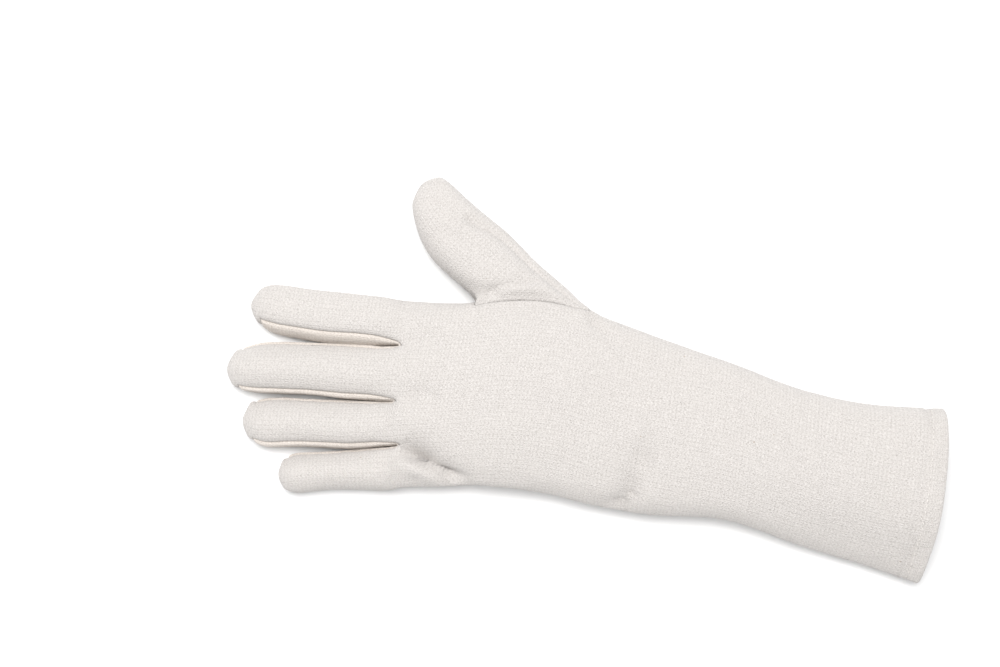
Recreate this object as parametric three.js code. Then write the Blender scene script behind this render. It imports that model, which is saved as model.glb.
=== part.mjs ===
// Long-cuff cotton work glove, the left one, lying palm down with its back up.
// Millimetres. X runs from the fingers to the cuff, Y to the thumb side, Z up out of the back of the hand.
// A coarse cage of quads is worked out from the tables below, its smooth Catmull-Clark surface is the
// glove's outside, and each cloth panel is that surface between its seams, given a thickness inward.
import * as THREE from 'three';

// Cloth
const WALL = 1.6;
const SEAM_GAP = 0.74;
const SLIT_GAP = 0.8;
const HEM_WALL = 1.4;
const HEM_GAP = 0.3;
const HEM_DEPTH = 9;

// Fingers: width at the fork line, length from there to the tip, and thickness
const INDEX_WIDTH = 23.5;
const MIDDLE_WIDTH = 27.6;
const RING_WIDTH = 20.6;
const LITTLE_WIDTH = 21;
const INDEX_LENGTH = 77;
const MIDDLE_LENGTH = 84;
const RING_LENGTH = 75.5;
const LITTLE_LENGTH = 57;
const INDEX_THICKNESS = 18;
const MIDDLE_THICKNESS = 18.5;
const RING_THICKNESS = 17.5;
const LITTLE_THICKNESS = 16;

// Thumb: length from its crotch to its tip, width across, and the angle to the length of the hand
const THUMB_LENGTH = 61;
const THUMB_WIDTH = 34;
const THUMB_THICKNESS = 23;
const THUMB_ANGLE = 32.6;

// Hand and cuff
const PALM_LENGTH = 107;
const CUFF_LENGTH = 155;
const CUFF_WIDTH = 84.8;
const CUFF_BULGE = 1.8;
const HAND_THICKNESS = 28;
const CUFF_THICKNESS = 33;

// How far the underside of the padded shape would sink below the floor before it is pressed flat
const PRESS = 1.4;

const COTTON = { color: 0xece6dc, roughness: 0.95, metalness: 0 };
const HAND_WIDTH = INDEX_WIDTH + MIDDLE_WIDTH + RING_WIDTH + LITTLE_WIDTH;
const radians = THREE.MathUtils.degToRad;

// One row per line that bounds the fingers at the fork line, from the thumb side to the little-finger
// side: its place across the hand, its shift toward the cuff as a share of the palm, and its lean in
// degrees to the little-finger side on the way to the tips
const FINGER_LINES = [
  { across: HAND_WIDTH / 2, shift: 0, lean: 3.4 },
  { across: HAND_WIDTH / 2 - INDEX_WIDTH, shift: -0.01, lean: 6.2 },
  { across: HAND_WIDTH / 2 - INDEX_WIDTH - MIDDLE_WIDTH, shift: 0.01, lean: 5 },
  { across: -HAND_WIDTH / 2 + LITTLE_WIDTH, shift: 0.06, lean: 12.6 },
  { across: -HAND_WIDTH / 2, shift: 0.07, lean: 11.5 },
];

// One row per finger. thumbSeam and littleSeam are the places of its seams on the back, in degrees round
// it from the thumb side, and thumbSide is the middle of its thumb side. thumbAway and littleAway say
// how far the outline keeps off the bounding lines at each ring below, as shares of the finger's width.
const FINGERS = [
  {
    name: 'index', width: INDEX_WIDTH, length: INDEX_LENGTH, thickness: INDEX_THICKNESS, lean: 2.7,
    thumbSide: 0, thumbSeam: 32, littleSeam: 128,
    thumbAway: [0, 0, 0, -0.02, -0.03, 0.03, 0.15],
    littleAway: [0, 0, 0.01, 0.09, 0.19, 0.33, 0.46],
  },
  {
    name: 'middle', width: MIDDLE_WIDTH, length: MIDDLE_LENGTH, thickness: MIDDLE_THICKNESS, lean: 5.8,
    thumbSide: -24, thumbSeam: 3, littleSeam: 151,
    thumbAway: [0.02, 0.01, 0, 0.02, 0.08, 0.19, 0.31],
    littleAway: [0, 0, 0.01, 0, 0, 0.09, 0.2],
  },
  {
    name: 'ring', width: RING_WIDTH, length: RING_LENGTH, thickness: RING_THICKNESS, lean: 6.8,
    thumbSide: -24, thumbSeam: 3, littleSeam: 148,
    thumbAway: [0, 0.02, 0.03, 0.05, 0.09, 0.17, 0.28],
    littleAway: [0, 0, 0.07, 0.14, 0.18, 0.33, 0.48],
  },
  {
    name: 'little', width: LITTLE_WIDTH, length: LITTLE_LENGTH, thickness: LITTLE_THICKNESS, lean: 12.5,
    thumbSide: -24, thumbSeam: 3, littleSeam: 142,
    thumbAway: [0, 0.01, 0.01, 0, 0, 0.08, 0.19],
    littleAway: [0, 0.03, 0.06, 0.05, 0.03, 0.09, 0.18],
  },
];

// One row per ring of a finger: its place as a share of the length, its height and how far its
// underside lifts as shares of the thickness, how far the seams have turned to their places, and how
// far the side strip has closed to a point
const FINGER_RINGS = [
  { along: 0.11, rise: 1.06, lift: 0, turned: 0.5, closed: 0 },
  { along: 0.29, rise: 1.02, lift: 0, turned: 0.9, closed: 0 },
  { along: 0.5, rise: 1.0, lift: 0, turned: 1, closed: 0.04 },
  { along: 0.7, rise: 0.97, lift: 0, turned: 1, closed: 0.1 },
  { along: 0.84, rise: 0.9, lift: 0.03, turned: 1, closed: 0.18 },
  { along: 0.925, rise: 0.76, lift: 0.08, turned: 1, closed: 0.28 },
  { along: 0.965, rise: 0.63, lift: 0.16, turned: 0.85, closed: 0.2 },
];
const STRIP_RINGS = 6;

// Columns of a finger's ring, as angles round it from the thumb side over the back. The thumb side and
// the two corners over the back start at these angles and turn to the places in the finger's row.
const FINGER_COLUMNS = [0, 38, 90, 142, 180, 222, 270, 308];

// Columns of the hand between the index side and the little-finger side, as shares of the width:
// at the fork line they are the edges and middles of the fingers, at the cuff they are even
const HAND_COLUMNS = 9;
const SHOULDER = 0.045;

// How far inside the hand's edge the thumb's seam lies on the back, as a share of the width
const THUMB_SEAM = 0.018;

// One row per station of the hand, from the fork line to the wrist. along is a share of the palm,
// thumbEdge and littleEdge of the hand's width off its middle line, rise of the thickness, and
// knuckle is the dip over the forks
const HAND_STATIONS = [
  { along: 0, thumbEdge: 0.5, littleEdge: -0.5, rise: 0.76, knuckle: 0.14 },
  { along: 0.14, thumbEdge: 0.511, littleEdge: -0.473, rise: 0.87, knuckle: 0.05 },
  { along: 0.297, thumbEdge: 0.54, littleEdge: -0.441, rise: 0.95, knuckle: 0.01 },
  { along: 0.42, thumbEdge: 0.576, littleEdge: -0.413, rise: 1.0, knuckle: 0 },
  { along: 0.551, thumbEdge: 0.604, littleEdge: -0.399, rise: 1.03, knuckle: 0 },
  { along: 0.682, thumbEdge: 0.612, littleEdge: -0.392, rise: 1.03, knuckle: 0 },
  { along: 0.813, thumbEdge: 0.598, littleEdge: -0.395, rise: 1.01, knuckle: 0 },
  { along: 1.0, thumbEdge: 0.545, littleEdge: -0.414, rise: 0.98, knuckle: 0 },
];

// One row per station of the cuff, from past the wrist to its mouth. along is a share of the cuff's
// length, the edges of its width off the hand's middle line, rise of its thickness, and bulge of the
// mouth's bulge. The last two rows are the hem's.
const CUFF_STATIONS = [
  { along: 0.187, thumbEdge: 0.53, littleEdge: -0.442, rise: 0.84, bulge: 0 },
  { along: 0.374, thumbEdge: 0.472, littleEdge: -0.409, rise: 0.87, bulge: 0 },
  { along: 0.561, thumbEdge: 0.398, littleEdge: -0.454, rise: 0.9, bulge: 0.1 },
  { along: 0.768, thumbEdge: 0.377, littleEdge: -0.509, rise: 0.95, bulge: 0.4 },
  { hem: 1, thumbEdge: 0.405, littleEdge: -0.56, rise: 0.99, bulge: 0.95 },
  { hem: 0, thumbEdge: 0.42, littleEdge: -0.58, rise: 1.0, bulge: 1 },
];

// The thumb is set in between these two stations of the hand
const THUMB_FIRST = 2;
const THUMB_LAST = 6;

// One row per ring of the thumb. The along columns are shares of its length past the crotch and the
// side columns of its width, for the edge that faces the index finger (in) and the outer one (out).
// rise and lift are shares of its thickness.
const THUMB_RINGS = [
  { inAlong: 0.11, inSide: 0.06, outAlong: -0.46, outSide: 1.05, rise: 1.04, lift: 0 },
  { inAlong: 0.26, inSide: 0.055, outAlong: -0.15, outSide: 1.04, rise: 1.02, lift: 0 },
  { inAlong: 0.45, inSide: 0.06, outAlong: 0.18, outSide: 1.08, rise: 0.99, lift: 0 },
  { inAlong: 0.64, inSide: 0.135, outAlong: 0.48, outSide: 1.07, rise: 0.95, lift: 0 },
  { inAlong: 0.8, inSide: 0.28, outAlong: 0.71, outSide: 1.07, rise: 0.88, lift: 0.03 },
  { inAlong: 0.91, inSide: 0.42, outAlong: 0.87, outSide: 1.08, rise: 0.76, lift: 0.08 },
  { inAlong: 0.955, inSide: 0.51, outAlong: 0.935, outSide: 1.04, rise: 0.65, lift: 0.15 },
];
const THUMB_TIP_SIDE = 0.75;

// Columns of a thumb's ring, as angles from the outer edge over the back, in the order of its base
const THUMB_COLUMNS = [150, 120, 90, 60, 30, 0, -30, -60, -90, -120, -150, 180];

// One row per fold or dent of the cloth. points are shares along the palm from the fork line and of
// the hand's width off its middle line; width and depth are shares of the hand's thickness, and a
// ridge has a negative depth
const FOLDS = [
  { points: [[0.07, -0.286], [0.293, -0.388], [0.416, -0.431]], width: 0.2, depth: 0.11 },
  { points: [[1.206, 0.014], [1.143, -0.081], [1.105, -0.268], [1.067, -0.41]], width: 0.2, depth: 0.05 },
  { points: [[0.042, -0.048], [0.126, -0.005], [0.216, 0.001]], width: 0.2, depth: 0.05 },
  { points: [[0.127, 0.953], [0.262, 0.913], [0.446, 0.846], [0.55, 0.77]], width: 0.2, depth: -0.05 },
  { points: [[0.387, 0.594], [0.485, 0.644], [0.595, 0.671], [0.665, 0.663]], width: 0.2, depth: 0.04 },
];

// The cage: points with the places that the smooth surface should reach, and quads with a panel each
const targets = [];
const quads = [];

function addPoint(x, y, z) {
  targets.push(new THREE.Vector3(x, y, z));
  return targets.length - 1;
}

function addQuad(a, b, c, d, panel, hem = false) {
  quads.push({ corners: [a, b, c, d], panel, hem });
}

// Section of a padded shape lying on the floor: a superellipse that is flatter below than above.
// u runs from -1 to 1 across, and over says whether the point is on the upper side.
const MIDDLE_HEIGHT = 0.45;
const UPPER_POWER = 2.4;
const LOWER_POWER = 3.4;

function sectionHeight(u, height, over) {
  const middle = MIDDLE_HEIGHT * height;
  const power = over ? UPPER_POWER : LOWER_POWER;
  const fullness = Math.pow(Math.max(0, 1 - Math.pow(Math.abs(u), power)), 1 / power);
  return over ? middle + (height - middle) * fullness : middle - (middle + PRESS) * fullness;
}

// The same section by angle, for rings whose columns go round it
function sectionByAngle(angle, halfWidth, height, lift) {
  const over = Math.sin(angle) >= 0;
  const power = over ? UPPER_POWER : LOWER_POWER;
  const u = Math.sign(Math.cos(angle)) * Math.pow(Math.abs(Math.cos(angle)), 2 / power);
  return { side: halfWidth * u, z: lift + sectionHeight(u, height, over) };
}

// Shares across the hand of its nine columns: finger edges and middles, easing to even ones
const forkShares = [];
FINGER_LINES.forEach((line, i) => {
  const share = 0.5 - line.across / HAND_WIDTH;
  if (i > 0) forkShares.push((share + forkShares[forkShares.length - 1]) / 2);
  forkShares.push(share);
});

function columnShares(ease) {
  return forkShares.map((share, k) => THREE.MathUtils.lerp(share, k / (HAND_COLUMNS - 1), ease));
}

// Stations of the hand and cuff in one list, with real lengths
const cuffEnd = PALM_LENGTH + CUFF_LENGTH;
const stations = [
  ...HAND_STATIONS.map((row) => ({
    x: row.along * PALM_LENGTH,
    thumbEdge: row.thumbEdge * HAND_WIDTH,
    littleEdge: row.littleEdge * HAND_WIDTH,
    height: row.rise * HAND_THICKNESS,
    knuckle: row.knuckle,
    bulge: 0,
  })),
  ...CUFF_STATIONS.map((row) => ({
    x: row.hem === undefined ? PALM_LENGTH + row.along * CUFF_LENGTH : cuffEnd - row.hem * HEM_DEPTH,
    thumbEdge: row.thumbEdge * CUFF_WIDTH,
    littleEdge: row.littleEdge * CUFF_WIDTH,
    height: row.rise * CUFF_THICKNESS,
    knuckle: 0,
    bulge: row.bulge * CUFF_BULGE,
  })),
];

// One ring of the hand: the index side's middle and shoulder, the back's columns, the little-finger
// side's shoulder, middle and shoulder, the palm's columns back, and the index side's lower shoulder
function handRing(station, index) {
  const shares = columnShares(index / (stations.length - 1));
  const width = station.thumbEdge - station.littleEdge;
  const forward = (share) => station.x + (index === 0 ? forkShiftAt(share) : 0);
  const point = (share, over, dip, place = share) => {
    const u = 1 - 2 * share;
    const x = forward(share) + station.bulge * (1 - u * u);
    const z = sectionHeight(u, station.height, over);
    return addPoint(x, station.thumbEdge - place * width, over ? z * (1 - dip) : z);
  };
  const side = (share) => {
    const y = station.thumbEdge - share * width;
    return addPoint(forward(share), y, MIDDLE_HEIGHT * station.height);
  };
  const inner = shares.slice(1, -1);
  const dipAt = (k) => (k % 2 === 1 ? station.knuckle : 0);
  const thumbSeam = index >= THUMB_FIRST && index <= THUMB_LAST ? THUMB_SEAM : SHOULDER;
  const ring = [side(0), point(SHOULDER, true, 0, thumbSeam)];
  inner.forEach((share, k) => ring.push(point(share, true, dipAt(k))));
  ring.push(point(1 - SHOULDER, true, 0), side(1), point(1 - SHOULDER, false, 0));
  inner.slice().reverse().forEach((share) => ring.push(point(share, false, 0)));
  ring.push(point(SHOULDER, false, 0));
  return ring;
}

// How far the fork line's points lie toward the cuff, eased between the finger lines
function forkShiftAt(share) {
  const lines = FINGER_LINES.map((line) => ({ share: 0.5 - line.across / HAND_WIDTH, shift: line.shift }));
  for (let i = 1; i < lines.length; i += 1) {
    const [a, b] = [lines[i - 1], lines[i]];
    if (share <= b.share + 1e-9) {
      const t = (share - a.share) / (b.share - a.share);
      return PALM_LENGTH * THREE.MathUtils.lerp(a.shift, b.shift, t);
    }
  }
  return 0;
}

const handRings = stations.map(handRing);
const RING_SIZE = handRings[0].length;
const LITTLE_MIDDLE = HAND_COLUMNS + 1;

// The trank's cloth runs on into the cuff, and the two are parted at the hand's last station
const WRIST = HAND_STATIONS.length - 1;

handRings.slice(1).forEach((ring, i) => {
  const before = handRings[i];
  const underThumb = i >= THUMB_FIRST && i < THUMB_LAST;
  const hem = i === handRings.length - 2;
  const panel = i < WRIST ? 'trank' : 'cuff';
  for (let k = 0; k < RING_SIZE; k += 1) {
    const next = (k + 1) % RING_SIZE;
    const thumbHole = underThumb && (k === 0 || next === 0);
    if (!thumbHole) addQuad(before[k], before[next], ring[next], ring[k], panel, hem);
  }
});

// Fingers: each grows out of eight points of the fork ring, two of them in the webs beside it
const forkRing = handRings[0];
const webs = FINGERS.slice(1).map((_, fork) => {
  const over = targets[forkRing[2 * fork + 3]];
  return addPoint(over.x, over.y, MIDDLE_HEIGHT * INDEX_THICKNESS);
});
const thumbSides = [forkRing[0], ...webs];
const littleSides = [...webs, forkRing[LITTLE_MIDDLE]];

// Names of the side strips, by the finger line that they lie along
const STRIPS = [null, 'fourchette_index_middle', 'fourchette_middle_ring', 'fourchette_ring_little', null];

function lineDirection(lean) {
  return new THREE.Vector2(-Math.cos(radians(lean)), -Math.sin(radians(lean)));
}

// Place on a bounding line of the fingers at a distance along a finger, kept away by a share
function outlinePoint(line, finger, base, along, away, sense) {
  const axis = lineDirection(finger.lean);
  const direction = lineDirection(FINGER_LINES[line].lean);
  const start = new THREE.Vector2(FINGER_LINES[line].shift * PALM_LENGTH, FINGER_LINES[line].across);
  const travel = (along - (start.x - base.x) * axis.x - (start.y - base.y) * axis.y) / direction.dot(axis);
  const across = new THREE.Vector2(axis.y, -axis.x);
  const isSlit = STRIPS[line] !== null;
  const keep = (isSlit ? SLIT_GAP / 2 : 0) + away * finger.width;
  return start.addScaledVector(direction, travel).addScaledVector(across, sense * keep);
}

FINGERS.forEach((finger, f) => {
  const over = 1 + 2 * f;
  const under = RING_SIZE - 1 - 2 * f;
  const first = [
    thumbSides[f], forkRing[over], forkRing[over + 1], forkRing[over + 2],
    littleSides[f], forkRing[under - 2], forkRing[under - 1], forkRing[under],
  ];
  const [lineA, lineB] = [FINGER_LINES[f], FINGER_LINES[f + 1]];
  const base = new THREE.Vector2(
    ((lineA.shift + lineB.shift) * PALM_LENGTH) / 2,
    (lineA.across + lineB.across) / 2,
  );
  let before = first;
  FINGER_RINGS.forEach((row, r) => {
    const along = row.along * finger.length;
    const thumbEdge = outlinePoint(f, finger, base, along, finger.thumbAway[r], -1);
    const littleEdge = outlinePoint(f + 1, finger, base, along, finger.littleAway[r], 1);
    const centre = thumbEdge.clone().add(littleEdge).multiplyScalar(0.5);
    const acrossHalf = thumbEdge.clone().sub(littleEdge).multiplyScalar(0.5);
    const halfWidth = acrossHalf.length();
    const height = (row.rise - row.lift) * finger.thickness;
    const thumbSide = finger.thumbSide * row.turned;
    const places = [finger.thumbSide, finger.thumbSeam, null, finger.littleSeam];
    const ring = FINGER_COLUMNS.map((column, k) => {
      const turned = THREE.MathUtils.lerp(column, places[k] ?? column, row.turned);
      const edge = k === 1 ? thumbSide : k === 7 ? 360 + thumbSide : 180;
      const closed = k % 2 === 1 ? THREE.MathUtils.lerp(turned, edge, row.closed) : turned;
      const at = sectionByAngle(radians(closed), halfWidth, height, row.lift * finger.thickness);
      const share = at.side / halfWidth;
      return addPoint(centre.x + share * acrossHalf.x, centre.y + share * acrossHalf.y, at.z);
    });
    for (let k = 0; k < ring.length; k += 1) {
      const next = (k + 1) % ring.length;
      const onThumbSide = k === 0 || next === 0;
      const onLittleSide = k === 3 || k === 4;
      const strip = onThumbSide ? STRIPS[f] : onLittleSide ? STRIPS[f + 1] : null;
      const panel = strip && r < STRIP_RINGS ? strip : 'trank';
      addQuad(before[k], ring[k], ring[next], before[next], panel);
    }
    before = ring;
  });
  const last = FINGER_RINGS[FINGER_RINGS.length - 1];
  const tipHeight = (last.lift + MIDDLE_HEIGHT * (last.rise - last.lift)) * finger.thickness;
  const axis = lineDirection(finger.lean);
  const centre = before.reduce((sum, i) => sum.add(targets[i]), new THREE.Vector3()).divideScalar(before.length);
  const reach = (1 - last.along) * finger.length;
  const tip = addPoint(centre.x + axis.x * reach, centre.y + axis.y * reach, tipHeight);
  for (let k = 1; k < before.length; k += 2) {
    addQuad(before[(k + 1) % before.length], before[k], before[k - 1], tip, 'trank');
  }
});

// Thumb: grows out of the hole in the index side of the hand
const thumbStations = handRings.slice(THUMB_FIRST, THUMB_LAST + 1);
const thumbBase = [
  ...thumbStations.map((ring) => ring[1]),
  thumbStations[thumbStations.length - 1][0],
  ...thumbStations.map((ring) => ring[RING_SIZE - 1]).reverse(),
  thumbStations[0][0],
];
const crotch = targets[thumbStations[0][0]];
const thumbAxis = new THREE.Vector2(-Math.cos(radians(THUMB_ANGLE)), Math.sin(radians(THUMB_ANGLE)));
const thumbAcross = new THREE.Vector2(thumbAxis.y, -thumbAxis.x);

function thumbPlan(along, side) {
  return new THREE.Vector2(crotch.x, crotch.y)
    .addScaledVector(thumbAxis, along * THUMB_LENGTH)
    .addScaledVector(thumbAcross, side * THUMB_WIDTH);
}

let thumbRing = thumbBase;
THUMB_RINGS.forEach((row) => {
  const inner = thumbPlan(row.inAlong, row.inSide);
  const outer = thumbPlan(row.outAlong, row.outSide);
  const halfWidth = inner.distanceTo(outer) / 2;
  const height = (row.rise - row.lift) * THUMB_THICKNESS;
  const ring = THUMB_COLUMNS.map((column) => {
    const at = sectionByAngle(radians(column), halfWidth, height, row.lift * THUMB_THICKNESS);
    const place = inner.clone().lerp(outer, (1 + at.side / halfWidth) / 2);
    return addPoint(place.x, place.y, at.z);
  });
  ring.forEach((_, k) => {
    const next = (k + 1) % ring.length;
    addQuad(thumbRing[k], thumbRing[next], ring[next], ring[k], 'thumb');
  });
  thumbRing = ring;
});

// The thumb's end: three points across its middle, between the upper and the lower columns
const [tipOut, tipIn] = [5, 11];
const lastThumb = THUMB_RINGS[THUMB_RINGS.length - 1];
const tipPoints = THUMB_COLUMNS.slice(0, 3).map((_, step) => {
  const t = (step + 1) / 4;
  const edge = targets[thumbRing[tipIn]].clone().lerp(targets[thumbRing[tipOut]], t);
  const tip = thumbPlan(1, THUMB_TIP_SIDE);
  const pull = Math.sin(Math.PI * t);
  const z = (lastThumb.lift + MIDDLE_HEIGHT * (lastThumb.rise - lastThumb.lift)) * THUMB_THICKNESS;
  const place = new THREE.Vector2(edge.x, edge.y);
  const gain = thumbAxis.dot(tip.clone().sub(place));
  return addPoint(place.x + thumbAxis.x * gain * pull, place.y + thumbAxis.y * gain * pull, z);
});
const middleRow = [thumbRing[tipIn], ...tipPoints, thumbRing[tipOut]];
for (let j = 0; j < 4; j += 1) {
  addQuad(thumbRing[j], thumbRing[j + 1], middleRow[j + 1], middleRow[j], 'thumb');
  addQuad(middleRow[j], middleRow[j + 1], thumbRing[10 - j - 1], thumbRing[10 - j], 'thumb');
}

// Catmull-Clark surface of a cage of quads
function neighbours(count, faces) {
  const around = Array.from({ length: count }, () => ({ edges: new Map(), diagonals: [] }));
  faces.forEach(({ corners }) => {
    corners.forEach((corner, k) => {
      const [next, across, last] = [1, 2, 3].map((step) => corners[(k + step) % 4]);
      around[corner].diagonals.push(across);
      [next, last].forEach((other) => {
        const edges = around[corner].edges;
        edges.set(other, (edges.get(other) ?? 0) + 1);
      });
    });
  });
  return around;
}

// Where the smooth surface lies for each point of the cage
function limitPlaces(points, around) {
  return points.map((point, i) => {
    const { edges, diagonals } = around[i];
    const open = [...edges].filter(([, uses]) => uses === 1).map(([other]) => other);
    const place = new THREE.Vector3();
    if (open.length === 2) {
      return place.addScaledVector(point, 4).add(points[open[0]]).add(points[open[1]]).divideScalar(6);
    }
    const n = edges.size;
    place.addScaledVector(point, n * n);
    edges.forEach((_, other) => place.addScaledVector(points[other], 4));
    diagonals.forEach((other) => place.add(points[other]));
    return place.divideScalar(n * (n + 5));
  });
}

// Cage whose smooth surface passes close to the targets, worked out in small steps
const FIT_STEPS = 30;

function fitCage(goal, faces) {
  const around = neighbours(goal.length, faces);
  const points = goal.map((point) => point.clone());
  for (let step = 0; step < FIT_STEPS; step += 1) {
    const places = limitPlaces(points, around);
    points.forEach((point, i) => point.add(goal[i]).sub(places[i]));
  }
  return points;
}

function subdivide(points, faces) {
  const facePoints = faces.map(({ corners }) => {
    const sum = new THREE.Vector3();
    corners.forEach((corner) => sum.add(points[corner]));
    return sum.divideScalar(4);
  });
  const edges = new Map();
  faces.forEach(({ corners }, f) => {
    corners.forEach((a, k) => {
      const b = corners[(k + 1) % 4];
      const key = a < b ? `${a} ${b}` : `${b} ${a}`;
      if (!edges.has(key)) edges.set(key, { ends: [a, b], faces: [] });
      edges.get(key).faces.push(f);
    });
  });
  const result = points.map(() => new THREE.Vector3());
  const sums = points.map(() => ({
    face: new THREE.Vector3(), faces: 0, middle: new THREE.Vector3(), edges: 0, open: new THREE.Vector3(), opens: 0,
  }));
  faces.forEach(({ corners }, f) => {
    corners.forEach((corner) => {
      sums[corner].face.add(facePoints[f]);
      sums[corner].faces += 1;
    });
  });
  let count = points.length;
  edges.forEach((edge) => {
    const [a, b] = edge.ends.map((end) => points[end]);
    const middle = a.clone().add(b).divideScalar(2);
    const isOpen = edge.faces.length === 1;
    edge.ends.forEach((end) => {
      sums[end].middle.add(middle);
      sums[end].edges += 1;
      if (isOpen) {
        sums[end].open.add(middle);
        sums[end].opens += 1;
      }
    });
    if (!isOpen) {
      middle.multiplyScalar(2).add(facePoints[edge.faces[0]]).add(facePoints[edge.faces[1]]).divideScalar(4);
    }
    edge.index = count;
    result.push(middle);
    count += 1;
  });
  points.forEach((point, i) => {
    const sum = sums[i];
    if (sum.opens === 2) {
      result[i].copy(sum.open).divideScalar(4).addScaledVector(point, 0.5);
      return;
    }
    const n = sum.faces;
    result[i].copy(sum.face).divideScalar(n * n);
    result[i].addScaledVector(sum.middle, 2 / (n * n)).addScaledVector(point, (n - 3) / n);
  });
  const smaller = [];
  faces.forEach((face, f) => {
    const centre = count + f;
    face.corners.forEach((corner, k) => {
      const next = face.corners[(k + 1) % 4];
      const last = face.corners[(k + 3) % 4];
      const edgeIndex = (a, b) => edges.get(a < b ? `${a} ${b}` : `${b} ${a}`).index;
      smaller.push({ ...face, corners: [corner, edgeIndex(corner, next), centre, edgeIndex(last, corner)] });
    });
  });
  result.push(...facePoints);
  return { points: result, faces: smaller };
}

function normalsOf(points, faces) {
  const normals = points.map(() => new THREE.Vector3());
  faces.forEach(({ corners }) => {
    const [a, b, c, d] = corners.map((corner) => points[corner]);
    const area = c.clone().sub(a).cross(d.clone().sub(b));
    corners.forEach((corner) => normals[corner].add(area));
  });
  return normals.map((normal) => normal.normalize());
}

// Depth of the folds at a point of the back
function foldDepth(point) {
  let depth = 0;
  FOLDS.forEach((fold) => {
    const path = fold.points.map(([along, across]) => [along * PALM_LENGTH, across * HAND_WIDTH]);
    const width = fold.width * HAND_THICKNESS;
    let nearest = Infinity;
    path.slice(1).forEach(([bx, by], i) => {
      const [ax, ay] = path[i];
      const [dx, dy] = [bx - ax, by - ay];
      const t = THREE.MathUtils.clamp(((point.x - ax) * dx + (point.y - ay) * dy) / (dx * dx + dy * dy), 0, 1);
      nearest = Math.min(nearest, Math.hypot(point.x - ax - t * dx, point.y - ay - t * dy));
    });
    depth += fold.depth * HAND_THICKNESS * Math.exp(-((nearest / width) ** 2));
  });
  return depth;
}

const cage = fitCage(targets, quads);
const fine = subdivide(cage, quads);
const surface = limitPlaces(fine.points, neighbours(fine.points.length, fine.faces));
const smoothNormals = normalsOf(surface, fine.faces);
surface.forEach((point, i) => {
  const facing = Math.max(0, smoothNormals[i].z);
  point.addScaledVector(smoothNormals[i], -facing * foldDepth(point));
  point.z = Math.max(0, point.z);
});
const normals = normalsOf(surface, fine.faces);

// Sharpest corner of a seam, as a cosine, at which a panel's edge still keeps its full margin
const SHARPEST = 0.3;

// A cloth panel as a closed solid: the faces of one panel between two depths under the outside,
// with its edge kept back by a margin from the seams
function panelSolid(name, chosen, outerDepth, innerDepth, margin) {
  const used = [...new Set(chosen.flatMap((face) => face.corners))];
  const place = new Map(used.map((corner, i) => [corner, i]));
  const uses = new Map();
  chosen.forEach(({ corners }) => {
    corners.forEach((a, k) => uses.set(`${a} ${corners[(k + 1) % 4]}`, [a, corners[(k + 1) % 4]]));
  });
  const rim = [...uses.values()].filter(([a, b]) => !uses.has(`${b} ${a}`));
  const inward = new Map();
  rim.forEach(([a, b]) => {
    const along = surface[b].clone().sub(surface[a]);
    [a, b].forEach((corner) => {
      const pull = normals[corner].clone().cross(along).normalize();
      inward.set(corner, [...(inward.get(corner) ?? []), pull]);
    });
  });
  const positions = [];
  [outerDepth, innerDepth].forEach((depth) => {
    used.forEach((corner) => {
      const normal = normals[corner];
      const at = surface[corner].clone().addScaledVector(normal, -depth);
      if (inward.has(corner)) {
        const [first, second] = inward.get(corner);
        const pull = first.clone().add(second).normalize();
        at.addScaledVector(pull, margin / Math.max(SHARPEST, pull.dot(first)));
        at.z = depth === outerDepth ? Math.max(at.z, 0) : at.z;
      }
      positions.push(at.x, at.y, at.z);
    });
  });
  const below = used.length;
  const triangles = [];
  chosen.forEach(({ corners }) => {
    const [a, b, c, d] = corners.map((corner) => place.get(corner));
    triangles.push(a, b, c, a, c, d, below + a, below + c, below + b, below + a, below + d, below + c);
  });
  rim.forEach(([from, to]) => {
    const [a, b] = [place.get(from), place.get(to)];
    triangles.push(b, a, below + a, b, below + a, below + b);
  });
  const geometry = new THREE.BufferGeometry();
  geometry.setAttribute('position', new THREE.Float32BufferAttribute(positions, 3));
  geometry.setIndex(triangles);
  geometry.computeVertexNormals();
  const mesh = new THREE.Mesh(geometry, new THREE.MeshStandardMaterial(COTTON));
  mesh.name = name;
  return mesh;
}

const glove = new THREE.Group();
['trank', 'cuff', 'thumb', ...STRIPS.filter(Boolean)].forEach((name) => {
  const faces = fine.faces.filter((face) => face.panel === name);
  glove.add(panelSolid(name, faces, 0, WALL, SEAM_GAP / 2));
});
const hemFaces = fine.faces.filter((face) => face.hem);
glove.add(panelSolid('cuff_hem', hemFaces, WALL + HEM_GAP, WALL + HEM_GAP + HEM_WALL, SEAM_GAP));

// Origin under the middle of the whole glove
const bounds = new THREE.Box3().setFromObject(glove);
const middle = bounds.getCenter(new THREE.Vector3());
glove.position.set(-middle.x, -middle.y, -bounds.min.z);

export default glove;
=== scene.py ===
# Long-cuff cotton work glove, the left one, lying palm down on a pale floor with its back up.
# Its shape is worked out in millimetres from the line where the fingers fork: X runs to the cuff,
# Y to the thumb side and Z up out of the back of the hand.
import math

import bpy
import numpy as np
from mathutils import Matrix, Vector, kdtree, noise
from mathutils.bvhtree import BVHTree


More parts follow.
